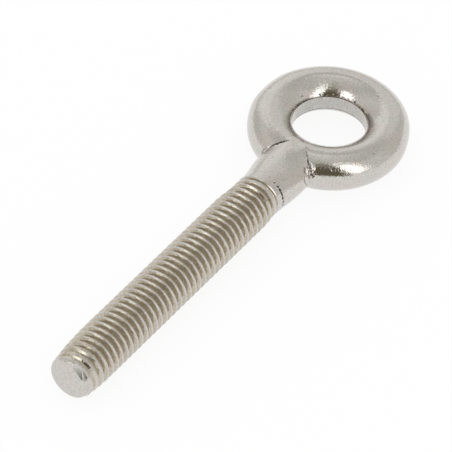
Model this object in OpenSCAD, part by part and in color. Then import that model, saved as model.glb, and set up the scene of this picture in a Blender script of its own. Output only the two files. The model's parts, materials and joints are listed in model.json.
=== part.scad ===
// Eye screw: a forged steel ring on a threaded shank, all one piece.
// It lies flat. The origin is the middle of the hole, +Z runs along the hole,
// and the shank runs along -X to its end face.

/* [Eye] */
// Outside diameter of the ring
ring_od = 25; // [24:0.5:34]
// Diameter of the hole through the ring
hole_d = 11.5; // [8:0.1:13]
// Thickness of the ring, measured along the hole
ring_h = 6.8; // [5:0.1:9]
// Height of the straight wall in the hole
hole_wall_h = 2.4; // [1:0.1:4]

/* [Neck] */
// Length of the plain neck, from the ring's outside to the thread
neck_len = 7.5; // [4:0.5:20]
// How far the neck lies below the thread's crests
neck_drop = 0.35; // [0.2:0.05:0.5]
// How much the neck widens on each side towards the ring
neck_flare = 0.85; // [0.4:0.05:1.5]
// How far the neck stands above the ring where they meet
neck_rise = 0.1; // [0.05:0.05:0.4]

/* [Thread] */
// Outside diameter of the thread
thread_d = 8; // [7:0.1:9]
// Distance from one crest to the next
pitch = 1.25; // [1:0.05:1.5]
// Distance from the middle of the hole to the end face
shank_len = 68.5; // [50:0.5:110]
// How far the blank end lies below the thread's crests
end_drop = 0.5; // [0.4:0.05:0.6]
// Radius of the rounded rim round the end face
end_round = 0.6; // [0.2:0.1:1]

/* [Hidden] */
$fn = 96;

steel = [0.77, 0.75, 0.72];

// The ring's section is an ellipse that the hole cuts where its wall begins.
section_half_h = ring_h / 2;
wall_half_h = hole_wall_h / 2;
cut_share = sqrt(1 - pow(wall_half_h / section_half_h, 2));
section_half_w = (ring_od - hole_d) / 2 / (1 + cut_share);
section_r = ring_od / 2 - section_half_w;
section_steps = 36;
cut_angle = acos(-cut_share);

// The neck narrows again inside the ring, so that it sinks into the ring's top.
neck_d = thread_d - 2 * neck_drop;
neck_root_w = neck_d + 2 * neck_flare;
neck_root_h = ring_h + 2 * neck_rise;
neck_root_x = -ring_od / 2;
neck_nose_x = -section_r;
neck_nose_share = 0.88;
neck_fn = 32;
neck_slice_t = 0.01;

// A metric thread: crest flat, flank, root flat, flank, at 60 degrees.
crest_w = pitch / 8;
root_w = pitch / 4;
flank_w = (pitch - crest_w - root_w) / 2;
thread_depth = flank_w / tan(30);
crest_r = thread_d / 2;
root_r = crest_r - thread_depth;
corner_x = [0, crest_w, crest_w + flank_w, crest_w + flank_w + root_w];
corner_r = [crest_r, crest_r, root_r, root_r];
corners = len(corner_x);
segments = 20;

// The ridge rises slowly from the blank end, and sinks faster into the neck.
end_r = thread_d / 2 - end_drop;
blank_len = end_round + pitch / 2;
neck_overlap = pitch;
thread_start_x = -shank_len + end_round;
thread_end_x = neck_root_x - neck_len;
turns = round((thread_end_x - thread_start_x) / pitch);
rows = turns * corners;
sink = 0.1;
sunk_r = root_r - sink;
start_share = (end_r - sink / 2 - sunk_r) / (crest_r - sunk_r);
rise_turns = 2.5;
fade_turns = 1.5;

function ramp(t) = min(1, max(0, t));
function turn_at(row, seg) = floor(row / corners) + seg / segments;
function rise_at(turn) = start_share + (1 - start_share) * ramp(turn / rise_turns);
function ridge_share(turn) = rise_at(turn) * ramp((turns - turn) / fade_turns);
function ridge_r(row, seg) =
    sunk_r + (corner_r[row % corners] - sunk_r) * ridge_share(turn_at(row, seg));
function ridge_x(row, seg) = thread_start_x + corner_x[row % corners] + pitch * turn_at(row, seg);
function ridge_point(row, seg) =
    let (a = 360 * seg / segments, r = ridge_r(row, seg))
    [ridge_x(row, seg), r * cos(a), r * sin(a)];

function spot(row, seg) = seg < segments ? row * segments + seg : (row + corners) * segments;

// Right-hand helical ridge and its core, as one closed skin of four bands a turn.
module thread_ridge() {
    points = [for (row = [0:rows - 1], seg = [0:segments - 1]) ridge_point(row, seg)];
    start_tip = len(points);
    end_tip = start_tip + 1;
    start_loop = concat(
        [for (seg = [0:segments - 1]) spot(0, seg)],
        [for (row = [corners:-1:1]) spot(row, 0)]
    );
    end_loop = concat(
        [for (seg = [0:segments - 1]) spot(rows - 1, seg)],
        [for (row = [rows - 2:-1:rows - 1 - corners]) spot(row, segments - 1)]
    );
    bands = [
        for (row = [0:rows - 2], seg = [0:segments - 1])
            if (seg < segments - 1 || row < rows - 1 - corners)
                each [
                    [spot(row, seg), spot(row + 1, seg), spot(row + 1, seg + 1)],
                    [spot(row, seg), spot(row + 1, seg + 1), spot(row, seg + 1)]
                ]
    ];
    start_cap = [
        for (i = [0:len(start_loop) - 1])
            [start_tip, start_loop[i], start_loop[(i + 1) % len(start_loop)]]
    ];
    end_cap = [
        for (i = [0:len(end_loop) - 1])
            [end_tip, end_loop[(i + 1) % len(end_loop)], end_loop[i]]
    ];
    polyhedron(
        points = concat(
            points,
            [[thread_start_x + pitch / 2, 0, 0], [thread_start_x + pitch * (turns - 0.5), 0, 0]]
        ),
        faces = concat(bands, start_cap, end_cap),
        convexity = 10
    );
}

// Ring with its hole, spun as one section whose inner side is the hole's wall.
module ring() {
    rotate_extrude()
        polygon([
            for (i = [0:section_steps])
                let (a = cut_angle * (2 * i / section_steps - 1))
                [section_r + section_half_w * cos(a), section_half_h * sin(a)]
        ]);
}

// One thin slice of the neck, w wide and h high, at x.
module neck_slice(x, w, h) {
    translate([x, 0, 0])
        rotate([0, 90, 0])
            linear_extrude(neck_slice_t)
                scale([h, w])
                    circle(d = 1, $fn = neck_fn);
}

// Neck: round at the thread, wider and a little flattened at the ring.
module neck() {
    hull() {
        neck_slice(thread_end_x - neck_overlap, neck_d, neck_d);
        neck_slice(neck_root_x, neck_root_w, neck_root_h);
        neck_slice(neck_nose_x, neck_root_w * neck_nose_share, neck_root_h * neck_nose_share);
    }
}

// Blank end of the shank: a flat face with a rounded rim.
module shank_end() {
    translate([-shank_len, 0, 0])
        rotate([0, 90, 0])
            rotate_extrude()
                polygon(concat(
                    [[0, 0]],
                    [
                        for (a = [0:15:90])
                            [end_r - end_round * (1 - sin(a)), end_round * (1 - cos(a))]
                    ],
                    [[end_r, blank_len], [0, blank_len]]
                ));
}

module eye_screw() {
    color(steel)
        union() {
            ring();
            neck();
            thread_ridge();
            shank_end();
        }
}

eye_screw();
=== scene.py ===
# %% [markdown]
# # A forged eye screw on a white table
#
# An eye screw is a ring, a short neck and a threaded shank, forged as one
# piece of stainless steel and tumbled until it shines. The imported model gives
# its true size. This notebook dresses it: first the shapes, then the marks
# that the forge left, then the steel, and last the small studio whose white
# walls and dark doorway are what polished steel really shows.

# %% Load the frame
import json
import math

import bmesh
import bpy
import numpy as np
from mathutils import Matrix, Vector, noise


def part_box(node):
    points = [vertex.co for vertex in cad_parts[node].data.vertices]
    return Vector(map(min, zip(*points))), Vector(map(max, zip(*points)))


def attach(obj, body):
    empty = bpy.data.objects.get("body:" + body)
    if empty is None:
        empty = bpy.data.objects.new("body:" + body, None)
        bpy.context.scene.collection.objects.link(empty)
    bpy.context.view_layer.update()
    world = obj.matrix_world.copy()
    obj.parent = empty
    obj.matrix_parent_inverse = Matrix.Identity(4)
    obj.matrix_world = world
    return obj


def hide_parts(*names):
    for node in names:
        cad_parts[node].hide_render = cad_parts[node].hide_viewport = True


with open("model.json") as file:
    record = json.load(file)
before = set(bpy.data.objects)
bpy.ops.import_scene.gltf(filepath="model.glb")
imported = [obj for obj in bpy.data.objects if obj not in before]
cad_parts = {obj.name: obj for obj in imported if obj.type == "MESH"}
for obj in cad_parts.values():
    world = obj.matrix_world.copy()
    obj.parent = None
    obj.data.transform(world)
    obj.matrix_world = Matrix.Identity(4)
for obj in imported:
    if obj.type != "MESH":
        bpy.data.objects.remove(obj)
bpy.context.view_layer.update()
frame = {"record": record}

# %% [markdown]
# ## Sizes
#
# Blender counts in metres, so every size in millimetres is multiplied by
# `MM`. The hole, the end face and the thread's crests are read from the frame
# and not typed again, because the dressed piece has to fit the solid that it
# stands for.

# %% Sizes from the frame
MM = 0.001
PITCH = 1.25 * MM
low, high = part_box("eye_screw")
mounts = {mount["name"]: mount for mount in frame["record"]["mounts"]}
HOLE_R = mounts["eye"]["dims"]["r_mm"] * MM
END_X = low.x
CREST_R = high.z
print("hole", HOLE_R / MM, "end", END_X / MM, "crest", CREST_R / MM)

# %% [markdown]
# ## Drawing an outline by hand
#
# A turned or spun shape starts as an outline. By hand, one point is placed
# and the next ones are pulled out of it with extrude, corner by corner. This
# helper does the same: a small plane is merged to a single point, moved to the
# first corner and extruded along the list.

# %% Outline helper
MERGE_WITHIN = 1e-6


def tidy_skin():
    bpy.ops.mesh.select_all(action="SELECT")
    bpy.ops.mesh.remove_doubles(threshold=MERGE_WITHIN)
    bpy.ops.mesh.normals_make_consistent(inside=False)


def draw_outline(name, corners, closed):
    bpy.ops.object.select_all(action="DESELECT")
    bpy.ops.mesh.primitive_plane_add(size=PITCH)
    piece = bpy.context.object
    piece.name = name
    bpy.ops.object.mode_set(mode="EDIT")
    bpy.ops.mesh.merge(type="CENTER")
    bpy.ops.transform.translate(value=corners[0])
    for start, end in zip(corners, corners[1:]):
        step = Vector(end) - Vector(start)
        bpy.ops.mesh.extrude_vertices_move(TRANSFORM_OT_translate={"value": step})
    if closed:
        step = Vector(corners[0]) - Vector(corners[-1])
        bpy.ops.mesh.extrude_vertices_move(TRANSFORM_OT_translate={"value": step})
        tidy_skin()
    bpy.ops.object.mode_set(mode="OBJECT")
    return piece


# %% [markdown]
# ## Checking a mesh
#
# A solid is closed when each of its edges belongs to exactly two faces. By
# hand, Select Non Manifold shows where that fails. This helper counts such
# edges, and the faces and triangles, so that each later step can be judged
# from one printed line.

# %% Counting helper
def describe(piece):
    skin = bmesh.new()
    skin.from_mesh(piece.data)
    open_edges = sum(1 for edge in skin.edges if len(edge.link_faces) != 2)
    triangles = sum(len(face.verts) - 2 for face in skin.faces)
    print(piece.name, len(skin.faces), "faces,", triangles, "triangles,", open_edges, "open edges")
    skin.free()


# %% [markdown]
# ## The ring
#
# The ring is close to a round bar bent in a circle, with a straight wall
# where the hole was punched and trimmed. A torus primitive can't have that
# wall, so the section is drawn once, as an ellipse that the wall cuts, and
# spun about the hole's axis. It is drawn a hair smaller than the solid.

# %% Ring sizes
RING_INSET = 0.03 * MM
RING_R = high.x - RING_INSET
RING_HALF_H = 3.41 * MM
RING_HALF_W = 3.47 * MM
RING_MID_R = RING_R - RING_HALF_W
RIM_ANGLE = math.acos((HOLE_R - RING_MID_R) / RING_HALF_W)
rim_z = RING_HALF_H * math.sin(RIM_ANGLE)
print("ring", RING_R / MM, "mm, its rims at", round(rim_z / MM, 2), "mm")

# %% [markdown]
# ## The worn shoulder
#
# The punch wore the inner shoulder of the ring, which lies a little lower
# than the outer one. A second curve could be drawn for it. It is simpler to
# lower each corner of the ellipse by a soft hump that is widest between the
# crown and the rim, and the same hump is used again for the melted corner.

# %% Ring section
SECTION_STEPS = 76
WALL_STEPS = 6
SHOULDER_DROP = 0.18 * MM


def shoulder_drop(angle):
    inward = np.clip((np.abs(angle) - math.pi / 2) / (RIM_ANGLE - math.pi / 2), 0, 1)
    return SHOULDER_DROP * np.sin(math.pi * inward) ** 2


def ring_corner(angle):
    z = RING_HALF_H * math.sin(angle)
    z -= math.copysign(shoulder_drop(angle), z)
    return RING_MID_R + RING_HALF_W * math.cos(angle), 0, z


def ring_section():
    round_side = [
        ring_corner(RIM_ANGLE * (1 - 2 * step / SECTION_STEPS))
        for step in range(SECTION_STEPS + 1)
    ]
    wall = [
        (HOLE_R, 0, rim_z * (2 * step / WALL_STEPS - 1)) for step in range(1, WALL_STEPS)
    ]
    return round_side + wall


# %% Spin the ring
RING_STEPS = 256


def make_ring():
    ring = draw_outline("ring", ring_section(), closed=True)
    bpy.ops.object.mode_set(mode="EDIT")
    bpy.ops.mesh.select_all(action="SELECT")
    bpy.ops.mesh.spin(
        steps=RING_STEPS, angle=2 * math.pi, center=(0, 0, 0), axis=(0, 0, 1)
    )
    tidy_skin()
    bpy.ops.object.mode_set(mode="OBJECT")
    return ring


ring = make_ring()
describe(ring)

# %% [markdown]
# ## The threaded shank
#
# A rolled thread is one ridge that winds round the shank. A stack of rings
# would look alike from afar, but its grooves wouldn't climb. The Screw
# modifier sweeps one pitch of the outline round the X axis and forward by a
# pitch a turn, which gives the true helix. The outline is half a groove, a
# flank with its worn corners and half a crest, and then the same mirrored.
# One known place of a crest, `CREST_X` at `CREST_TURN` degrees, sets the
# whole helix.

# %% Thread sizes
TURN_STEPS = 96
SPARE_TURNS = 2
THREAD_DEPTH = 0.677 * MM
ROOT_R = CREST_R - THREAD_DEPTH
CREST_TURN = 118.9
CREST_X = -65.31 * MM
SHANK_COVER = 0.05 * MM
SHANK_END_X = -RING_MID_R - SHANK_COVER
THREAD_SECTION = (
    (0.5, 0.0), (0.378, 0.0), (0.29, 0.277), (0.18, 0.623),
    (0.068, 0.975), (0.045, 1.0), (0.0, 1.0),
)
print("thread", THREAD_DEPTH / MM, "mm deep, root radius", round(ROOT_R / MM, 3), "mm")


# %% Screw the thread
def thread_outline():
    rising = [
        (-share * PITCH, ROOT_R + (CREST_R - ROOT_R) * height, 0)
        for share, height in THREAD_SECTION
    ]
    falling = [(-x, r, z) for x, r, z in reversed(rising[:-1])]
    return rising + falling


def make_thread():
    shank = draw_outline("shank", thread_outline(), closed=False)
    first_turn = math.floor((END_X - CREST_X) / PITCH) - SPARE_TURNS
    turns = math.ceil((SHANK_END_X - CREST_X) / PITCH) - first_turn + SPARE_TURNS
    start_x = CREST_X + PITCH * (first_turn - CREST_TURN / 360)
    bpy.ops.object.mode_set(mode="EDIT")
    bpy.ops.mesh.select_all(action="SELECT")
    bpy.ops.transform.translate(value=(start_x, 0, 0))
    bpy.ops.object.mode_set(mode="OBJECT")
    bpy.ops.object.modifier_add(type="SCREW")
    screw = shank.modifiers[-1]
    screw.axis = "X"
    screw.steps = screw.render_steps = TURN_STEPS
    screw.screw_offset = PITCH
    screw.iterations = turns
    bpy.ops.object.modifier_apply(modifier=screw.name)
    bpy.ops.object.mode_set(mode="EDIT")
    tidy_skin()
    bpy.ops.object.mode_set(mode="OBJECT")
    return shank


shank = make_thread()
describe(shank)

# %% [markdown]
# ## The neck
#
# Between thread and ring the bar is plain, and it widens and flattens where
# it was forged into the ring, a little later on its left side. A neck of its
# own could be lofted, but a line would show where it meets the thread. So a
# small function gives the neck's half width, half height and sideways shift
# at any place, and the thread's own grid is laid onto that surface next.
# `ease` is the soft ramp from 0 to 1 that all these shapes use.

# %% Neck sizes
NECK_R = 3.70 * MM
NECK_ROOT_HALF_H = RING_HALF_H
NECK_END_X = -13.4 * MM
RIGHT_FLARE_X = -20.3 * MM
RIGHT_FLARE = 0.68 * MM
LEFT_FLARE_X = -18.6 * MM
LEFT_FLARE = 0.70 * MM


def ease(value, start, end):
    share = np.clip((value - start) / (end - start), 0, 1)
    return share * share * (3 - 2 * share)


def neck_size(x):
    right = NECK_R + RIGHT_FLARE * ease(x, RIGHT_FLARE_X, NECK_END_X)
    left = NECK_R + LEFT_FLARE * ease(x, LEFT_FLARE_X, NECK_END_X)
    half_h = NECK_R + (NECK_ROOT_HALF_H - NECK_R) * ease(x, RIGHT_FLARE_X, NECK_END_X)
    return (left + right) / 2, half_h, (left - right) / 2


print("neck at the ring:", [round(size / MM, 2) for size in neck_size(NECK_END_X)])

# %% [markdown]
# ## The run-out of the thread
#
# The rolling dies lift off the bar over the last turn, so the groove grows
# shallow and narrow and then stops at a low step, which lies farther from the
# ring on the left. No operator makes that change of section, so the grid's
# points are moved: a groove point rises, and no point stands above the plain
# surface.

# %% Surface without a groove
STEP_START_X = -23.0 * MM
STEP_END_X = -18.9 * MM
LEFT_LEAD = 3.2 * MM
GROOVE_LIFT_X = -19.7 * MM
GROOVE_GONE_X = -18.1 * MM


def plain_surface(x, round_bar):
    half_w, half_h, shift = neck_size(x)
    neck = round_bar * np.stack((half_w, half_h), axis=1)
    neck[:, 0] += shift
    lead = LEFT_LEAD * np.clip(round_bar[:, 0], 0, 1)
    plain = ease(x + lead, STEP_START_X, STEP_END_X)[:, None]
    return round_bar * CREST_R * (1 - plain) + neck * plain


def with_groove(x, radius, surface):
    lift = (x - GROOVE_LIFT_X) / (GROOVE_GONE_X - GROOVE_LIFT_X) * (CREST_R - ROOT_R)
    groove_share = (radius + np.clip(lift, 0, None)) / np.linalg.norm(surface, axis=1)
    return surface * np.minimum(1, groove_share)[:, None]


# %% [markdown]
# ## The first crests
#
# At the end face the bar was thinner, and the dies raised only low crests
# there. Over the first few turns the ridge grows to its full height. The
# same moving of points does it: the part of each radius that stands above
# the root is made smaller, and the root itself stays.

# %% Shape neck and run-out
RIDGE_RISE_BEFORE = 1.5 * MM
RIDGE_RISE_AFTER = 4.8 * MM
RIDGE_LOSS = 0.6


def read_points(piece):
    points = np.empty(len(piece.data.vertices) * 3)
    piece.data.vertices.foreach_get("co", points)
    return points.reshape(-1, 3)


def write_points(piece, points):
    piece.data.vertices.foreach_set("co", points.ravel())
    piece.data.update()


def crest_loss(x, radius):
    grown = ease(x, END_X - RIDGE_RISE_BEFORE, END_X + RIDGE_RISE_AFTER)
    return (radius - ROOT_R) * (1 - grown) * RIDGE_LOSS


def shape_neck():
    points = read_points(shank)
    x, across = points[:, 0], points[:, 1:]
    radius = np.linalg.norm(across, axis=1)
    surface = plain_surface(x, across / radius[:, None])
    points[:, 1:] = with_groove(x, radius, surface)
    near_tip = x < STEP_START_X
    points[near_tip, 1:] *= (1 - crest_loss(x, radius) / radius)[near_tip, None]
    write_points(shank, points)
    print(int(near_tip.sum()), "points on the thread,", int((~near_tip).sum()), "beyond it")


shape_neck()

# %% [markdown]
# ## Sawing and closing the shank
#
# The swept skin is an open tube that runs on past both ends. As a saw would,
# bisect cuts it square at each end, and the two open loops are then filled
# with a face. The end by the ring stops inside the ring's bar, where it
# can't be seen.

# %% Close the shank's ends
SAW_ALLOWANCE = PITCH / 4


def only(piece):
    bpy.ops.object.select_all(action="DESELECT")
    piece.select_set(True)
    bpy.context.view_layer.objects.active = piece


def cut_off(piece, x, direction):
    only(piece)
    bpy.ops.object.mode_set(mode="EDIT")
    bpy.ops.mesh.select_all(action="SELECT")
    bpy.ops.mesh.bisect(plane_co=(x, 0, 0), plane_no=(direction, 0, 0), clear_outer=True)
    bpy.ops.object.mode_set(mode="OBJECT")


def close_ends(piece):
    only(piece)
    bpy.ops.object.mode_set(mode="EDIT")
    bpy.ops.mesh.select_all(action="DESELECT")
    bpy.ops.mesh.select_mode(type="EDGE")
    bpy.ops.mesh.select_non_manifold(extend=False)
    bpy.ops.mesh.edge_face_add()
    tidy_skin()
    bpy.ops.mesh.select_mode(type="VERT")
    bpy.ops.object.mode_set(mode="OBJECT")


cut_off(shank, END_X - SAW_ALLOWANCE, -1)
cut_off(shank, SHANK_END_X, 1)
close_ends(shank)
describe(shank)

# %% [markdown]
# ## The blank end
#
# Before rolling, the end of the bar was turned flat, its rim rounded and its
# last stretch left thinner than the rest. Later its edge tore off on one
# side. A gauge is made with that outline, as on a lathe: spun about the
# shank's axis, moved a little off it, and cut once on a slant for the tear.
# To trim turn by turn would be slow, while what the gauge and the thread have
# in common is exactly the trimmed end.

# %% Tip gauge
TIP_OUTLINE = (
    (0.0, 0.0), (0.02, 1.8), (0.07, 2.7), (0.17, 3.15), (0.34, 3.42), (0.6, 3.57),
    (1.1, 3.62), (2.0, 3.73), (3.0, 3.85), (4.0, 3.95), (5.0, 4.0), (9.0, 4.2),
)
TIP_SHIFT = Vector((0, -0.12, -0.12)) * MM
TEAR_OUT = 2.15 * MM
TEAR_TURN = math.radians(128)
TEAR_TILT = math.radians(26)
LATHE_R = 6 * MM
LATHE_END_X = -8 * MM


def make_tip_gauge():
    corners = [(END_X + behind * MM, r * MM, 0) for behind, r in TIP_OUTLINE]
    corners += [(LATHE_END_X, LATHE_R, 0), (LATHE_END_X, 0, 0)]
    gauge = draw_outline("tip gauge", corners, closed=False)
    bpy.ops.object.mode_set(mode="EDIT")
    bpy.ops.mesh.select_all(action="SELECT")
    bpy.ops.mesh.spin(
        steps=2 * TURN_STEPS, angle=2 * math.pi, center=(0, 0, 0), axis=(1, 0, 0)
    )
    tidy_skin()
    bpy.ops.transform.translate(value=TIP_SHIFT)
    towards = Vector((0, math.cos(TEAR_TURN), math.sin(TEAR_TURN)))
    bpy.ops.mesh.select_all(action="SELECT")
    bpy.ops.mesh.bisect(
        plane_co=Vector((END_X, 0, 0)) + towards * TEAR_OUT,
        plane_no=towards * math.sin(TEAR_TILT) - Vector((math.cos(TEAR_TILT), 0, 0)),
        clear_outer=True,
    )
    bpy.ops.object.mode_set(mode="OBJECT")
    close_ends(gauge)
    return gauge


tip_gauge = make_tip_gauge()
describe(tip_gauge)


# %% Trim the tip
def combine(piece, other, operation):
    only(piece)
    bpy.ops.object.modifier_add(type="BOOLEAN")
    joint = piece.modifiers[-1]
    joint.operation = operation
    joint.object = other
    joint.solver = "EXACT"
    bpy.ops.object.modifier_apply(modifier=joint.name)
    bpy.data.objects.remove(other)


combine(shank, tip_gauge, "INTERSECT")
describe(shank)

# %% [markdown]
# ## One forging
#
# Ring and shank are one piece of metal. Two meshes that only overlap would
# keep hidden faces inside and a hard line between them that can't be melted.
# A Boolean union with the exact solver cuts both skins along their common
# line and keeps the outside, as one closed skin.

# %% Join ring and shank
combine(ring, shank, "UNION")
screw_eye = ring
screw_eye.name = "polished_eye_screw"
bpy.ops.object.mode_set(mode="EDIT")
tidy_skin()
bpy.ops.object.mode_set(mode="OBJECT")
describe(screw_eye)

# %% [markdown]
# ## Marks of the forge
#
# The forge and its tools left marks: a crease, a seam with beads, pits, nicks
# and a torn edge. Bump in the material could draw them, but the outline would
# stay smooth, and the bare mesh would lose them. So they are real hollows.
# They are written down first: half the width, the depth and the path on the
# skin, all in millimetres. A pit is a path of one point, and a bead has a
# depth below zero. `ragged` breaks a mark up, and the last number says how
# dark the hollow is painted: partly the polishing dirt that it holds, partly
# painted shade for the shade that falls into a crease.

# %% How a mark is written down
marks = []


def mark(half_width, depth, *path, ragged=0.0, dirt_and_shade=1.0):
    spots = np.array(path) * MM
    marks.append((half_width * MM, depth * MM, spots, ragged, dirt_and_shade))


# %% [markdown]
# ## The folded corner
#
# Beside the neck the metal didn't flow together but folded. On the left it
# left one deep, dark crease that runs out as a scar. On the right it left a
# ragged seam of short pieces, with small beads of metal squeezed out beside
# it. One straight groove would look cut by a saw, so the seam is put together
# from short, overlapping marks of different widths.

# %% Crease on the left
mark(
    0.16, 0.26, (-9.3, 1.4, 3.4), (-9.8, 1.85, 3.3), (-10.6, 2.75, 2.8), (-11.4, 3.6, 2.2),
    ragged=0.3,
)
mark(0.16, 0.12, (-11.4, 3.6, 2.2), (-11.9, 4.1, 1.5), ragged=2.0, dirt_and_shade=0.6)
mark(0.40, 0.05, (-11.3, 4.2, 1.7), (-11.9, 4.3, 1.0), ragged=4.0, dirt_and_shade=0.3)
print(len(marks), "marks in the crease")

# %% Seam on the right
mark(0.13, 0.10, (-9.13, -1.57, 3.4))
mark(
    0.10, 0.10, (-9.6, -2.0, 3.3), (-10.0, -2.4, 3.15), (-10.45, -2.85, 2.9),
    ragged=1.4, dirt_and_shade=0.9,
)
mark(
    0.15, 0.15, (-10.45, -2.85, 2.9), (-10.75, -3.2, 2.6), (-11.0, -3.45, 2.4),
    ragged=1.5, dirt_and_shade=0.75,
)
mark(0.28, 0.07, (-11.8, -3.3, 2.2), (-12.2, -3.65, 1.85), ragged=2.0, dirt_and_shade=0.5)
mark(0.32, 0.08, (-10.9, -3.6, 2.35), (-11.3, -4.1, 1.65), ragged=2.5, dirt_and_shade=0.6)
mark(0.20, -0.13, (-11.2, -3.25, 2.3), (-11.55, -3.6, 1.9), (-11.9, -3.95, 1.45), ragged=0.4)
mark(0.18, -0.10, (-10.7, -4.3, 2.35), (-10.95, -4.55, 1.9), ragged=0.5)
mark(0.60, 0.04, (-11.2, -3.9, 2.0), (-11.55, -4.3, 1.1), ragged=3.0, dirt_and_shade=0.2)
mark(0.55, -0.14, (-12.25, -4.1, 1.15), (-12.2, -4.35, 0.4), (-11.85, -4.3, -0.5), ragged=0.5)
mark(
    0.12, 0.07, (-12.7, -4.0, 1.4), (-13.0, -4.25, 0.7), (-12.5, -4.35, -0.4),
    ragged=1.0, dirt_and_shade=0.5,
)
mark(
    0.12, 0.07, (-11.5, -4.45, 1.0), (-11.6, -4.6, 0.1), (-11.45, -4.3, -1.2),
    ragged=1.0, dirt_and_shade=0.55,
)
mark(0.13, 0.08, (-13.2, -4.0, 1.35), dirt_and_shade=0.7)
mark(0.90, 0.014, (-10.3, -5.4, 2.0), (-9.3, -7.0, 2.0), ragged=8.0, dirt_and_shade=0.1)
print(len(marks), "marks with the seam")

# %% [markdown]
# ## Pits, scratches and worn patches
#
# Scale from the forge left small pits where it fell off, mostly on the ring's
# inner shoulder, and the tumbling stones left a scratch and two dull patches.
# Noise could scatter them, but noise spreads them evenly, and a real piece
# has a few in odd places. So each one is listed on its own.

# %% Pits and patches
mark(0.12, 0.08, (-18.0, -1.0, 3.5))
mark(0.24, 0.14, (5.8, -0.7, 1.5))
mark(0.16, 0.10, (-3.35, -10.25, 2.9))
mark(0.13, 0.08, (3.9, 4.5, 1.6))
mark(0.10, 0.05, (1.2, 6.25, 2.0), (1.7, 6.05, 2.0))
mark(0.65, 0.004, (4.4, -4.2, 1.7), (3.3, -5.4, 1.95), (2.1, -6.3, 2.3), ragged=0.3, dirt_and_shade=0.4)
mark(0.5, 0.004, (-5.0, 4.2, 1.9), (-6.0, 3.3, 2.2), ragged=0.3, dirt_and_shade=0.25)
for spot in (
    (5.7, 1.2, 1.4), (5.75, 2.0, 1.8), (5.3, 2.8, 1.65), (5.85, 0.45, 1.45), (5.4, -2.1, 1.3),
    (7.35, -3.8, 3.3), (-8.6, 5.8, 3.1), (-1.7, 6.75, 2.6), (-1.75, 8.05, 3.25),
    (-0.7, 10.4, 3.1), (-4.8, 9.95, 2.75), (-11.3, 4.4, 1.5), (-13.7, 1.25, 3.3),
    (-13.2, -4.0, 1.4),
):
    mark(0.11, 0.06, spot, dirt_and_shade=0.7)
for spot in ((1.6, -11.8, 1.9), (1.1, -11.95, 1.75), (0.35, -12.0, 1.75), (2.9, -11.6, 1.8)):
    mark(0.16, 0.05, spot, ragged=0.5, dirt_and_shade=0.5)
print(len(marks), "marks with the pits")

# %% [markdown]
# ## Nicks round the neck
#
# Just behind the thread a tool left a row of short, dark nicks. They lie on
# one circle of the neck, so each is given only by its turn round the neck, in
# degrees, and by half its width. The neck's own size there puts it on the
# skin, which typed places would soon miss.

# %% Nicks
NICK_X = -18.1 * MM
NICK_SWEEP = 1.3
NICKS = (
    (121, 0.13), (133, 0.18), (142, 0.23), (149.5, 0.20),
    (156.5, 0.21), (166, 0.24), (177, 0.21), (187, 0.18),
)


def mark_nick(turned, half_width):
    half_w, half_h, shift = neck_size(NICK_X)
    ends = [math.radians(turned + sweep) for sweep in (-NICK_SWEEP, NICK_SWEEP)]
    path = [(NICK_X, shift + half_w * math.cos(a), half_h * math.sin(a)) for a in ends]
    mark(half_width, half_width, *(np.array(path) / MM))


for nick in NICKS:
    mark_nick(*nick)
print(len(NICKS), "nicks,", len(marks), "marks with them")

# %% [markdown]
# ## The torn edge of the end face
#
# The gauge cut the tear off clean, but torn metal is rough. Three ragged
# hollows along the cut's edge break it up, and a low burr stands beside them.

# %% Torn edge
mark(
    0.17, 0.11, (-68.35, -1.15, 2.5), (-68.35, -1.55, 2.0), (-68.4, -2.35, 1.2),
    ragged=1.3, dirt_and_shade=1.0,
)
mark(
    0.34, 0.10, (-68.1, -1.35, 2.85), (-68.05, -2.05, 2.4), (-68.0, -2.75, 1.85),
    ragged=2.0, dirt_and_shade=0.75,
)
mark(
    0.12, 0.08, (-68.2, -1.8, 2.3), (-68.2, -2.35, 1.75), (-68.3, -2.9, 0.9),
    ragged=2.0, dirt_and_shade=0.5,
)
mark(0.28, -0.10, (-68.3, -0.45, 3.05), (-68.2, -0.9, 3.0), ragged=0.3)
print(len(marks), "marks in all")

# %% [markdown]
# ## Refining the skin
#
# A pit a fifth of a millimetre wide needs faces smaller than that, and the
# whole skin at that size would be millions of triangles. So only the long
# edges beside a mark are selected and subdivided, three times over. By hand
# this would be a brush of the sculpting tools. Here the distance from each
# edge's middle to the marks picks the edges.

# %% Distance to a mark
def distance_to(points, spots):
    nearest = np.linalg.norm(points - spots[0], axis=1)
    for start, end in zip(spots, spots[1:]):
        along = end - start
        share = np.clip((points - start) @ along / (along @ along), 0, 1)
        off_path = points - start - share[:, None] * along
        nearest = np.minimum(nearest, np.linalg.norm(off_path, axis=1))
    return nearest


# %% Refine the skin beside the marks
FINE_EDGE = 0.13 * MM
MARK_MARGIN = 0.2 * MM
REFINE_PASSES = 3


def beside_marks(points):
    close = np.zeros(len(points), dtype=bool)
    for half_width, depth, spots, ragged, dirt_and_shade in marks:
        close |= distance_to(points, spots) < half_width + MARK_MARGIN
    return close


def long_edges_by_marks(piece):
    points = read_points(piece)
    ends = np.empty(len(piece.data.edges) * 2, dtype=int)
    piece.data.edges.foreach_get("vertices", ends)
    first, second = points[ends[0::2]], points[ends[1::2]]
    length = np.linalg.norm(first - second, axis=1)
    return beside_marks((first + second) / 2) & (length > FINE_EDGE)


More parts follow.
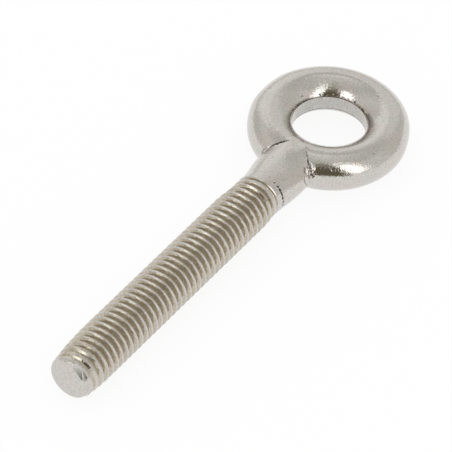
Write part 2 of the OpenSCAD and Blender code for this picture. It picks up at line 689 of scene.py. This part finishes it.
def refine_skin(piece):
    only(piece)
    for refine_pass in range(REFINE_PASSES):
        chosen = long_edges_by_marks(piece)
        bpy.ops.object.mode_set(mode="EDIT")
        bpy.ops.mesh.select_mode(type="EDGE")
        bpy.ops.mesh.select_all(action="DESELECT")
        bpy.ops.object.mode_set(mode="OBJECT")
        piece.data.edges.foreach_set("select", chosen)
        bpy.ops.object.mode_set(mode="EDIT")
        bpy.ops.mesh.subdivide(number_cuts=1)
        bpy.ops.mesh.select_mode(type="VERT")
        bpy.ops.object.mode_set(mode="OBJECT")
        print("pass", refine_pass, "cut", int(chosen.sum()), "edges")


refine_skin(screw_eye)
describe(screw_eye)

# %% [markdown]
# ## How far a point lies outside
#
# To melt a corner, it has to be known how far any point lies outside the ring
# and outside the neck: nothing on the skin, and less than nothing inside. For
# the ring that is its distance from the worn ellipse. The bar is also a
# little thicker in some places round the ring and thinner in one, as hammered
# bars are, and `SWELLS` lists these by height in millimetres, place and
# spread in degrees.

# %% Depth below the ring's skin
SWELLS = ((0.16, 148, 24), (0.10, 104, 9), (0.11, 70, 12), (-0.15, -65, 14))
SHOULDER_PASSES = 2


def swell_at(turned):
    total = 0
    for height, middle, spread in SWELLS:
        total += height * MM * np.exp(-(((np.degrees(turned) - middle) / spread) ** 2))
    return total


def ring_depth(points):
    x, y, z = points.T
    outward = np.hypot(x, y) - RING_MID_R
    outward = outward - swell_at(np.arctan2(y, x)) * ease(outward, 0, RING_HALF_W)
    height = np.abs(z)
    for _ in range(SHOULDER_PASSES):
        angle = np.arctan2(height / RING_HALF_H, outward / RING_HALF_W)
        height = np.abs(z) + shoulder_drop(angle)
    return (np.hypot(outward / RING_HALF_W, height / RING_HALF_H) - 1) * RING_HALF_W


# %% [markdown]
# ## The neck's nose
#
# Inside the ring's bar the neck ends in a nose that follows the ring's own
# round section and stops just short of the hole. Without it the neck would
# break out of the hole's wall, or end in a step on the ring's top.

# %% Depth below the neck's skin
NOSE_COVER = 0.3 * MM
NOSE_X = -HOLE_R - NOSE_COVER
NOSE_LIMIT = 0.9
DEPTH_STEP = 0.002 * MM


def neck_depth(points):
    x, y, z = points.T
    half_w, half_h, shift = neck_size(x)
    inward = np.clip(x + RING_MID_R, 0, -NOSE_X)
    nose = np.sqrt(1 - np.minimum(inward / RING_HALF_W, NOSE_LIMIT) ** 2)
    nose -= shoulder_drop(np.arctan2(nose, -inward / RING_HALF_W)) / RING_HALF_H
    across = (y - shift) / (half_w * nose)
    beside = (np.hypot(across, z / (half_h * nose)) - 1) * half_h * nose
    return np.maximum(beside, x - NOSE_X)


def slope(depth, points):
    here = depth(points)
    rise = [depth(points + DEPTH_STEP * axis) - here for axis in np.eye(3)]
    return np.stack(rise, axis=1) / DEPTH_STEP


# %% [markdown]
# ## The melted corner
#
# On top, the hammered metal of neck and ring flowed into one soft hollow. It
# is wide on top, tight at both sides and a little wider again at the
# equator. A bevel along the line of the union has one width and breaks up on
# so fine a grid. So the two depths are blended where they are nearly equal,
# which fills the corner, and every point is slid down the slope of that
# blend until it lies on it. A slow wave keeps the ring from looking turned.

# %% Width of the melt
TOP_MELT = 2.6 * MM
SIDE_MELT = 0.3 * MM
EQUATOR_MELT = 0.9 * MM
MELT_LEFT_Y = (1.0 * MM, 2.2 * MM)
MELT_RIGHT_Y = (-1.4 * MM, -2.6 * MM)
EQUATOR_Z = (1.6 * MM, 0.6 * MM)
RIM_MARGIN = (0.6 * MM, 2.4 * MM)


def melt_reach(points):
    y, z = points[:, 1], points[:, 2]
    side = np.maximum(ease(y, *MELT_LEFT_Y), ease(y, *MELT_RIGHT_Y))
    low_down = ease(np.abs(z), *EQUATOR_Z)
    side_melt = SIDE_MELT + (EQUATOR_MELT - SIDE_MELT) * low_down
    off_rim = ease(np.hypot(points[:, 0], y) - HOLE_R, *RIM_MARGIN)
    return (TOP_MELT + (side_melt - TOP_MELT) * side) * off_rim


def melted_depth(points):
    ring_out, neck_out = ring_depth(points), neck_depth(points)
    ring_slope, neck_slope = slope(ring_depth, points), slope(neck_depth, points)
    crossing = np.linalg.norm(np.cross(ring_slope, neck_slope), axis=1)
    crossing /= np.linalg.norm(ring_slope, axis=1) * np.linalg.norm(neck_slope, axis=1)
    reach = melt_reach(points) * crossing + DEPTH_STEP
    overlap = np.clip(reach - np.abs(ring_out - neck_out), 0, None)
    return np.minimum(ring_out, neck_out) - overlap**2 / (4 * reach)


# %% Melt the corner between ring and neck
WALL_MARGIN = 0.01 * MM
WAVE_DEPTH = 0.008 * MM
WAVE_LENGTH = 1.6 * MM
MELT_PASSES = 4


def settle_skin(piece):
    points = read_points(piece)
    in_hole = np.hypot(points[:, 0], points[:, 1]) < HOLE_R + WALL_MARGIN
    loose = (points[:, 0] > STEP_END_X) & ~in_hole
    moved = points[loose]
    wave = np.array([noise.noise(Vector(point / WAVE_LENGTH)) for point in moved]) * WAVE_DEPTH
    for _ in range(MELT_PASSES):
        steepness = slope(melted_depth, moved)
        gap = melted_depth(moved) - wave
        moved = moved - steepness * (gap / np.sum(steepness**2, axis=1))[:, None]
    print("skin moved by up to", round(np.abs(moved - points[loose]).max() / MM, 3), "mm")
    points[loose] = moved
    write_points(piece, points)


settle_skin(screw_eye)

# %% [markdown]
# ## Pressing the marks in
#
# Each mark now pushes the points under it along their normals, most in its
# middle and not at all at its edge, while noise tears it where it is ragged.
# The hollows are also painted darker, through a number per point that the
# steel reads later: partly dirt, which stays where no tumbling stone can
# reach, and partly painted shade for the shade that falls into a crease
# and a pit. A painted picture could say the same, but it would need a UV map.

# %% Press the marks in
RAGGED_LENGTH = 0.33 * MM
RAGGED_MOST = 1.5
GRIME_AND_SHADE_SPREAD = 1.6


def press_marks(piece):
    points = read_points(piece)
    normals = np.empty(len(points) * 3)
    piece.data.vertex_normals.foreach_get("vector", normals)
    normals = normals.reshape(-1, 3)
    push = np.zeros(len(points))
    grime_and_shade = np.zeros(len(points))
    for half_width, depth, spots, ragged, dirt_and_shade in marks:
        share = distance_to(points, spots) / half_width
        touched = np.flatnonzero(share < 1)
        tears = np.array([noise.noise(Vector(points[i] / RAGGED_LENGTH)) for i in touched])
        bite = (1 - share[touched] ** 2) ** 2 * np.clip(1 + ragged * tears, 0, RAGGED_MOST)
        push[touched] += depth * bite
        # hollows are painted darker: partly dirt, partly painted shade of the crease
        if depth > 0:
            darkened = dirt_and_shade * np.clip(GRIME_AND_SHADE_SPREAD * bite, 0, 1)
            grime_and_shade[touched] = np.maximum(grime_and_shade[touched], darkened)
    write_points(piece, points - normals * push[:, None])
    darkening = piece.data.attributes.new("grime_and_shade", "FLOAT", "POINT")
    darkening.data.foreach_set("value", grime_and_shade)
    print("deepest", round(push.max() / MM, 2), "mm, highest", round(-push.min() / MM, 2), "mm")


press_marks(screw_eye)

# %% [markdown]
# ## Smooth shading
#
# A mirror shows every facet, so the faces are shaded smooth. The rims of the
# hole, the corners of the crests and the edge of the end face are real edges,
# and they stay sharp because they bend by more than `SHARP_ANGLE`.

# %% Smooth shading
SHARP_ANGLE = math.radians(14)
only(screw_eye)
bpy.ops.object.shade_smooth_by_angle(angle=SHARP_ANGLE)
describe(screw_eye)

# %% [markdown]
# ## Building a material from nodes
#
# Everything on this steel follows from where a point lies, so the material is
# built from nodes that read Object coordinates. The helpers add a node, do
# sums, multiply masks, ramp softly between two values, make noise of a given
# size and lay one colour over another.

# %% Node helpers
def add_node(tree, kind, **settings):
    node = tree.nodes.new(kind)
    for name, value in settings.items():
        setattr(node, name, value)
    return node


def calculate(tree, operation, *values):
    node = add_node(tree, "ShaderNodeMath", operation=operation)
    for socket, value in zip(node.inputs, values):
        if isinstance(value, (int, float)):
            socket.default_value = value
        else:
            tree.links.new(value, socket)
    return node.outputs[0]


def all_of(tree, mask, *others):
    for other in others:
        mask = calculate(tree, "MULTIPLY", mask, other)
    return mask


def distance_of(tree, a, b):
    squares = calculate(tree, "MULTIPLY_ADD", a, a, calculate(tree, "MULTIPLY", b, b))
    return calculate(tree, "SQRT", squares)


def step_between(tree, value, start, end, start_value=0.0, end_value=1.0):
    node = add_node(tree, "ShaderNodeMapRange", interpolation_type="SMOOTHSTEP")
    tree.links.new(value, node.inputs["Value"])
    node.inputs["From Min"].default_value = start
    node.inputs["From Max"].default_value = end
    node.inputs["To Min"].default_value = start_value
    node.inputs["To Max"].default_value = end_value
    return node.outputs["Result"]


# %% Noise and colour helpers
COARSE_DETAIL = 2.0
FINE_DETAIL = 3.0


def grain(tree, where, size, detail=COARSE_DETAIL):
    node = add_node(tree, "ShaderNodeTexNoise")
    tree.links.new(where, node.inputs["Vector"])
    node.inputs["Scale"].default_value = 1 / size
    node.inputs["Detail"].default_value = detail
    return node.outputs["Fac"]


def blend(tree, mask, below, above):
    node = add_node(tree, "ShaderNodeMix", data_type="RGBA")
    for socket, value in (("Factor", mask), ("A", below), ("B", above)):
        if isinstance(value, tuple):
            node.inputs[socket].default_value = value
        else:
            tree.links.new(value, node.inputs[socket])
    return node.outputs["Result"]


# %% [markdown]
# ## Painted shade in the grooves
#
# The grooves are painted darker and browner than the crests. In part this is
# painted shade, for the light that is lost bouncing between the flanks, and in
# part the brown that the rolling oil and the air left. The mask for it is the
# depth below the thread's top, which is lower at the thin end and on the neck.
# It fades out where the thread stops, and it leaves the end face alone.

# %% Mask of the grooves
TIP_TOP_R = 3.52 * MM
TIP_TOP_RISE = 0.11
GROOVE_DEPTHS = (0.06 * MM, 0.2 * MM)
BEHIND_TIP = (END_X + 0.5 * PITCH, END_X + 1.1 * PITCH)


def below_top(tree, x, y, z):
    behind = calculate(tree, "SUBTRACT", x, END_X)
    tip_top = calculate(tree, "MULTIPLY_ADD", behind, TIP_TOP_RISE, TIP_TOP_R)
    neck_top = step_between(tree, x, STEP_START_X, STEP_END_X, CREST_R, NECK_R)
    top = calculate(tree, "MINIMUM", calculate(tree, "MINIMUM", CREST_R, tip_top), neck_top)
    return calculate(tree, "SUBTRACT", top, distance_of(tree, y, z))


def groove_shade_mask(tree, x, y, z, on_thread):
    deep = step_between(tree, below_top(tree, x, y, z), *GROOVE_DEPTHS)
    return all_of(tree, deep, on_thread, step_between(tree, x, *BEHIND_TIP))


# %% [markdown]
# ## The colour of the steel
#
# Stainless steel is a warm grey, and heat left it a shade warmer in some
# places than in others. A metal's base colour tints what it mirrors, so two
# close greys are mixed by slow noise, and the two browns of the grooves'
# painted shade by finer noise. One flat colour would look like chrome.

# %% Colours of skin and grooves
WARM_STEEL = (0.675, 0.630, 0.597, 1)
COOL_STEEL = (0.652, 0.638, 0.597, 1)
MOTTLE_SIZE = 3.0 * MM
MOTTLE_EDGES = (0.4, 0.6)
# painted shade of the grooves: darker, browner steel for the light lost between the flanks, with
# some brown tint
GROOVE_SHADE_BROWN = (0.53, 0.472, 0.382, 1)
GROOVE_SHADE_PALE = (0.615, 0.558, 0.467, 1)
BLOTCH_SIZE = 0.4 * MM
BLOTCH_EDGES = (0.38, 0.62)


def steel_colour(tree, where, groove_shade):
    mottle = step_between(tree, grain(tree, where, MOTTLE_SIZE), *MOTTLE_EDGES)
    skin = blend(tree, mottle, COOL_STEEL, WARM_STEEL)
    blotch = step_between(tree, grain(tree, where, BLOTCH_SIZE, FINE_DETAIL), *BLOTCH_EDGES)
    groove_shade_colour = blend(tree, blotch, GROOVE_SHADE_BROWN, GROOVE_SHADE_PALE)
    return blend(tree, groove_shade, skin, groove_shade_colour)


# %% [markdown]
# ## Stains and painted shade
#
# Three faint stains and a painted shade keep the metal from looking like new
# glass: dust-fine grain all over, streaks that the punch drew down the hole's
# wall, specks, and a dark line of painted shade along the rims of the hole.
# Each is a mask whose upper value says how dark it gets. The streaks are the
# same noise drawn out along the hole's axis; the specks, Voronoi cells' middles.

# %% Dust and streaks
DUST_SIZE = 0.26 * MM
DUST_EDGES = (0.62, 0.36)
DUST_DIRT = 0.16
BRUSH_STRETCH = 0.12
BRUSH_EDGES = (0.35, 0.65)
BRUSH_DIRT = (0.10, 0.24)
WALL_FADE = 0.06 * MM


def dust_stain(tree, where):
    fine = grain(tree, where, DUST_SIZE, FINE_DETAIL)
    return step_between(tree, fine, *DUST_EDGES, 0.0, DUST_DIRT)


def wall_stain(tree, where, from_axis):
    squeezed = add_node(tree, "ShaderNodeMapping")
    squeezed.inputs["Scale"].default_value = (1, 1, BRUSH_STRETCH)
    tree.links.new(where, squeezed.inputs["Vector"])
    streaks = grain(tree, squeezed.outputs["Vector"], DUST_SIZE)
    brushed = step_between(tree, streaks, *BRUSH_EDGES, *BRUSH_DIRT)
    on_wall = step_between(tree, from_axis, HOLE_R + WALL_FADE, HOLE_R + WALL_MARGIN)
    return all_of(tree, brushed, on_wall)


# %% Specks and rim lines
SPECK_SPACING = 0.9 * MM
SPECK_R = 0.09 * MM
SPECK_CORE = 0.4
SPECK_DIRT = 0.55
# the rim line is painted shade along both rims of the hole
RIM_LINE_W = 0.11 * MM
RIM_LINE_CORE = 0.2
RIM_LINE_SHADE = 0.75


def speck_stain(tree, where):
    specks = add_node(tree, "ShaderNodeTexVoronoi")
    tree.links.new(where, specks.inputs["Vector"])
    specks.inputs["Scale"].default_value = 1 / SPECK_SPACING
    off_middle = calculate(tree, "DIVIDE", specks.outputs["Distance"], SPECK_R / SPECK_SPACING)
    return step_between(tree, off_middle, 1.0, SPECK_CORE, 0.0, SPECK_DIRT)


# painted shade: a dark line along both rims of the hole
def rim_shade_line(tree, from_axis, z):
    above_rim = calculate(tree, "SUBTRACT", calculate(tree, "ABSOLUTE", z), rim_z)
    off_wall = calculate(tree, "SUBTRACT", from_axis, HOLE_R)
    off_rim = calculate(
        tree, "MAXIMUM",
        calculate(tree, "ABSOLUTE", off_wall), calculate(tree, "ABSOLUTE", above_rim),
    )
    core = RIM_LINE_CORE * RIM_LINE_W
    return step_between(tree, off_rim, RIM_LINE_W, core, 0.0, RIM_LINE_SHADE)


# %% [markdown]
# ## Polish
#
# How sharp a mirror image is depends on the roughness: low on the tumbled
# skin, higher on the crests that the dies pressed, and high in the marks'
# dirt and painted shade. The fine grain of the polish is too small for the
# mesh, so it is the one thing that is left to a bump node.

# %% Roughness and grain
STEEL_ROUGHNESS = 0.08
CREST_ROUGHNESS = 0.2
GROOVE_ROUGHNESS = 0.1
DIRT_ROUGHNESS = 0.6
GRAIN_SIZE = 0.35 * MM
GRAIN_DEPTH = 0.035 * MM


def steel_roughness(tree, on_thread, groove_shade, grime_and_shade):
    roughness = step_between(tree, on_thread, 0, 1, STEEL_ROUGHNESS, CREST_ROUGHNESS)
    for mask, value in ((groove_shade, GROOVE_ROUGHNESS), (grime_and_shade, DIRT_ROUGHNESS)):
        mix = add_node(tree, "ShaderNodeMix")
        tree.links.new(mask, mix.inputs["Factor"])
        tree.links.new(roughness, mix.inputs["A"])
        mix.inputs["B"].default_value = value
        roughness = mix.outputs["Result"]
    return roughness


def polish_grain(tree, where):
    bump = add_node(tree, "ShaderNodeBump")
    bump.inputs["Distance"].default_value = GRAIN_DEPTH
    tree.links.new(grain(tree, where, GRAIN_SIZE, FINE_DETAIL), bump.inputs["Height"])
    return bump.outputs["Normal"]


# %% [markdown]
# ## Polished steel
#
# Now the parts come together. A Principled shader that is all metal takes the
# colour, with every stain and painted shade laid over it in one dark colour,
# then the roughness and the grain. The marks' painted shade and grime come
# last, so that nothing lightens a crease again.

# %% Steel
# one dark colour for the stains, the grime and the painted shade of rims and creases
DIRT_AND_SHADE = (0.045, 0.038, 0.030, 1)


def make_steel():
    material = bpy.data.materials.new("polished_steel")
    material.use_nodes = True
    tree = material.node_tree
    steel = tree.nodes["Principled BSDF"]
    steel.inputs["Metallic"].default_value = 1.0
    where = add_node(tree, "ShaderNodeTexCoord").outputs["Object"]
    axes = add_node(tree, "ShaderNodeSeparateXYZ")
    tree.links.new(where, axes.inputs["Vector"])
    x, y, z = axes.outputs
    from_axis = distance_of(tree, x, y)
    # the marks' painted darkening: dirt plus painted shade in creases and pits
    grime_and_shade = add_node(tree, "ShaderNodeAttribute", attribute_name="grime_and_shade").outputs["Fac"]
    on_thread = step_between(tree, x, STEP_END_X, GROOVE_LIFT_X)
    # mask of the grooves' painted shade
    groove_shade = groove_shade_mask(tree, x, y, z, on_thread)
    colour = steel_colour(tree, where, groove_shade)
    # stains and painted shade, each laid over the steel in the same dark colour
    for darkening in (
        dust_stain(tree, where), wall_stain(tree, where, from_axis), speck_stain(tree, where),
        rim_shade_line(tree, from_axis, z), grime_and_shade,
    ):
        colour = blend(tree, darkening, colour, DIRT_AND_SHADE)
    tree.links.new(colour, steel.inputs["Base Color"])
    tree.links.new(steel_roughness(tree, on_thread, groove_shade, grime_and_shade), steel.inputs["Roughness"])
    tree.links.new(polish_grain(tree, where), steel.inputs["Normal"])
    return material


screw_eye.data.materials.clear()
screw_eye.data.materials.append(make_steel())
print("steel of", len(screw_eye.data.materials[0].node_tree.nodes), "nodes")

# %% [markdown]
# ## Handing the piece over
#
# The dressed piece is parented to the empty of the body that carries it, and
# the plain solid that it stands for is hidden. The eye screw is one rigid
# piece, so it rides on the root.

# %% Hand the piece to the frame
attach(screw_eye, "root")
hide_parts("eye_screw")

# %% [markdown]
# ## The table
#
# The part lies on a white table with a soft shadow. Plain white paint comes
# out grey in this light, and more light would burn out the steel. So most of
# the paint is swapped for a glow of strength 1, but only for the camera and
# for mirror images. The other tenth keeps the shadow, and the light that the
# table throws back onto the steel stays that of paint.

# %% Table
FLOOR_SIZE = 6.0
TABLE_WHITE = (0.97, 0.97, 0.97, 1)
TABLE_ROUGHNESS = 0.9
GLOW_SHARE = 0.9
MIRRORED_GLOW = 0.98


def seen_in_mirrors(tree):
    path = add_node(tree, "ShaderNodeLightPath")
    seen = calculate(tree, "MAXIMUM", path.outputs["Is Camera Ray"], path.outputs["Is Glossy Ray"])
    return calculate(tree, "MAXIMUM", seen, path.outputs["Is Transmission Ray"])


def make_table_paint():
    material = bpy.data.materials.new("white_table")
    material.use_nodes = True
    tree = material.node_tree
    paint = tree.nodes["Principled BSDF"]
    paint.inputs["Base Color"].default_value = TABLE_WHITE
    paint.inputs["Roughness"].default_value = TABLE_ROUGHNESS
    glow = add_node(tree, "ShaderNodeEmission")
    mirrored = add_node(tree, "ShaderNodeLightPath").outputs["Is Glossy Ray"]
    strength = step_between(tree, mirrored, 0, 1, 1.0, MIRRORED_GLOW)
    tree.links.new(strength, glow.inputs["Strength"])
    mix = add_node(tree, "ShaderNodeMixShader")
    glow_share = calculate(tree, "MULTIPLY", seen_in_mirrors(tree), GLOW_SHARE)
    tree.links.new(glow_share, mix.inputs["Fac"])
    tree.links.new(paint.outputs[0], mix.inputs[1])
    tree.links.new(glow.outputs[0], mix.inputs[2])
    tree.links.new(mix.outputs[0], tree.nodes["Material Output"].inputs["Surface"])
    return material


def make_table():
    bpy.ops.object.select_all(action="DESELECT")
    bpy.ops.mesh.primitive_plane_add(size=FLOOR_SIZE, location=(0, 0, low.z))
    table = bpy.context.object
    table.name = "white_table"
    table.data.materials.append(make_table_paint())
    return table


table = make_table()
print("table at", round(table.location.z / MM, 2), "mm")

# %% [markdown]
# ## The room round the table
#
# Polished steel has hardly a look of its own: it shows the room. Walls and
# windows could be built from lit planes, but each would cast its own shadow
# and add noise. So the room is painted on the world, by direction. `side` is
# the angle round the table, with 0 where the camera stands, `opposite` is
# the same with 0 behind the part, and `up` is the height above the table's
# edge, all in degrees. `rear` is the half of the room behind the part.

# %% Directions in the room
CAMERA_AT = Vector((-585.1, -341.5, 617.5)) * MM
REAR_EDGE = (0.1, -0.2)


def look_along(tree):
    where = add_node(tree, "ShaderNodeTexCoord")
    turn = add_node(tree, "ShaderNodeMapping")
    turn.inputs["Rotation"].default_value = (0, 0, -math.atan2(CAMERA_AT.y, CAMERA_AT.x))
    tree.links.new(where.outputs["Generated"], turn.inputs["Vector"])
    axes = add_node(tree, "ShaderNodeSeparateXYZ")
    tree.links.new(turn.outputs["Vector"], axes.inputs["Vector"])
    return axes.outputs


def degrees_of(tree, operation, *values):
    return calculate(tree, "DEGREES", calculate(tree, operation, *values))


# %% [markdown]
# ## Walls and ceiling
#
# The back of the steel mirrors a bright panel between darker walls, and the
# crown of the ring mirrors a greyer ceiling. Every edge is a soft ramp
# between two angles, because a wall that is out of focus in the polish has
# no hard edge. A picture of a real room would also do, but then the script
# would need a file, and its light couldn't be tuned by name.

# %% Walls and ceiling
PANEL_LEFT, PANEL_RIGHT, PANEL_BOTTOM = (-42.5, -40.5), (38, 32), (5, 15)
RIGHT_WALL_LEFT, RIGHT_WALL_TOP = (38, 46), (84, 70)
LOW_WALL_TOP = (34, 20)
CEILING_BOTTOM, CEILING_TOP = (46, 53), (92, 56)
REAR_CEILING_BOTTOM, REAR_CEILING_TOP = (47, 51), (70, 62)


def back_panel(tree, rear, opposite, up):
    return all_of(
        tree, step_between(tree, opposite, *PANEL_LEFT),
        step_between(tree, opposite, *PANEL_RIGHT), rear, step_between(tree, up, *PANEL_BOTTOM),
    )


def low_walls(tree, rear, opposite, up):
    right_wall = all_of(
        tree, step_between(tree, opposite, *RIGHT_WALL_LEFT),
        step_between(tree, up, *RIGHT_WALL_TOP),
    )
    wall = calculate(tree, "MAXIMUM", step_between(tree, up, *LOW_WALL_TOP), right_wall)
    return all_of(tree, rear, wall)


def ceiling(tree, rear, up):
    above = all_of(
        tree, step_between(tree, up, *CEILING_BOTTOM), step_between(tree, up, *CEILING_TOP),
        calculate(tree, "SUBTRACT", 1.0, rear),
    )
    above_rear = all_of(
        tree, step_between(tree, up, *REAR_CEILING_BOTTOM),
        step_between(tree, up, *REAR_CEILING_TOP), rear,
    )
    return calculate(tree, "MAXIMUM", above, above_rear)


# %% [markdown]
# ## Windows and doorway
#
# On the camera's side of the room are two bright windows, which give the
# steel its white glints, and between them a dim doorway, which is the dark
# band where a shape faces the camera. Lamps would give glints too, but round
# ones without a frame. An opening has four soft edges, and the right window
# and the doorway lean, as the glints in the photograph do.

# %% Windows and doorway
LEFT_WINDOW = {"left": (-66, -48), "right": (-32, -22), "bottom": (8, 20), "top": (42, 58)}
RIGHT_WINDOW = {"left": (22, 31), "right": (42, 62), "bottom": (2, 12), "top": (44, 78)}
RIGHT_WINDOW_LEAN = (0.25, 6.25)
DOORWAY = {"left": (-25, -17), "right": (60, 70), "bottom": (-4, 4), "top": (66, 84)}
DOORWAY_LEAN = (0.35, 14.0)
DOORWAY_EDGE = (28, 16)


def opening(tree, across, up, left, right, bottom, top):
    return all_of(
        tree, step_between(tree, across, *left), step_between(tree, across, *reversed(right)),
        step_between(tree, up, *bottom), step_between(tree, up, *reversed(top)),
    )


def leaning(tree, side, up, lean, shift):
    return calculate(tree, "MULTIPLY_ADD", up, lean, calculate(tree, "SUBTRACT", side, shift))


def doorway(tree, side, up):
    slanted = leaning(tree, side, up, *DOORWAY_LEAN)
    upright = opening(tree, side, up, **DOORWAY)
    return all_of(tree, upright, step_between(tree, slanted, *DOORWAY_EDGE))


# %% [markdown]
# ## Painting the room
#
# The walls, the ceiling and the openings are laid over each other, the
# nearest last. Only the windows are brighter than white. For all rays but
# those of the camera and of mirror images, the whole room is plain white,
# so that it lights the table evenly and no window throws a hard shadow.

# %% Studio
ROOM_WHITE = (0.76, 0.755, 0.73, 1)
LOW_WALL_GREY = (0.68, 0.675, 0.645, 1)
PANEL_BRIGHT, PANEL_DIM = (0.95, 0.95, 0.935, 1), (0.82, 0.82, 0.80, 1)
PANEL_FADE = (-14, 8)
CEILING_GREY = (0.64, 0.63, 0.605, 1)
WINDOW_GLARE = (2.1, 2.1, 2.05, 1)
DOORWAY_DARK, DOORWAY_PALE = (0.15, 0.13, 0.09, 1), (0.60, 0.58, 0.52, 1)
DOORWAY_FADE = (32, 80)
EVEN_WHITE = (1, 1, 1, 1)


def make_studio():
    world = bpy.data.worlds.new("studio")
    bpy.context.scene.world = world
    world.use_nodes = True
    tree = world.node_tree
    x, y, z = look_along(tree)
    side, up = degrees_of(tree, "ARCTAN2", y, x), degrees_of(tree, "ARCSINE", z)
    opposite = degrees_of(tree, "ARCTAN2", y, calculate(tree, "MULTIPLY", x, -1.0))
    rear = step_between(tree, x, *REAR_EDGE)
    leaning_side = leaning(tree, side, up, *RIGHT_WINDOW_LEAN)
    panel_white = blend(
        tree, step_between(tree, opposite, *PANEL_FADE), PANEL_BRIGHT, PANEL_DIM
    )
    doorway_shade = blend(tree, step_between(tree, up, *DOORWAY_FADE), DOORWAY_DARK, DOORWAY_PALE)
    room = ROOM_WHITE
    for mask, colour in (
        (low_walls(tree, rear, opposite, up), LOW_WALL_GREY),
        (back_panel(tree, rear, opposite, up), panel_white),
        (ceiling(tree, rear, up), CEILING_GREY),
        (opening(tree, side, up, **LEFT_WINDOW), WINDOW_GLARE),
        (opening(tree, leaning_side, up, **RIGHT_WINDOW), WINDOW_GLARE),
        (doorway(tree, side, up), doorway_shade),
    ):
        room = blend(tree, mask, room, colour)
    room = blend(tree, seen_in_mirrors(tree), EVEN_WHITE, room)
    tree.links.new(room, tree.nodes["Background"].inputs["Color"])
    return world


studio = make_studio()
print("studio of", len(studio.node_tree.nodes), "nodes")

# %% [markdown]
# ## The camera
#
# The photograph was taken from about a metre away with a long lens, which
# keeps the shank's far end almost as wide as its near one. A Track To
# constraint would aim the camera, but it can't roll it. So the camera is
# turned by three angles: down, round, and a slight roll. The lens follows
# from the size of the frame in pixels, and the picture keeps plain colours.

# %% Camera
CAMERA_DOWN = math.radians(43.363)
CAMERA_TURN = math.radians(31.5)
CAMERA_ROLL = math.radians(-4.304)
CAMERA_LENS_PX = 6000
CAMERA_SIGHT = 20
IMAGE_PX = 452
SENSOR_W = 36.0


def make_camera():
    forward = Vector((
        math.cos(CAMERA_DOWN) * math.cos(CAMERA_TURN),
        math.cos(CAMERA_DOWN) * math.sin(CAMERA_TURN),
        -math.sin(CAMERA_DOWN),
    ))
    level = forward.cross(Vector((0, 0, 1))).normalized()
    right = Matrix.Rotation(CAMERA_ROLL, 3, forward) @ level
    upward = right.cross(forward)
    bpy.ops.object.camera_add(location=CAMERA_AT)
    camera = bpy.context.object
    camera.rotation_euler = Matrix((right, upward, -forward)).transposed().to_euler()
    camera.data.sensor_width = SENSOR_W
    camera.data.lens = CAMERA_LENS_PX * SENSOR_W / IMAGE_PX
    camera.data.clip_end = CAMERA_SIGHT
    bpy.context.scene.camera = camera
    return camera


camera = make_camera()
print("lens", round(camera.data.lens), "mm")
bpy.context.scene.view_settings.view_transform = "Standard"
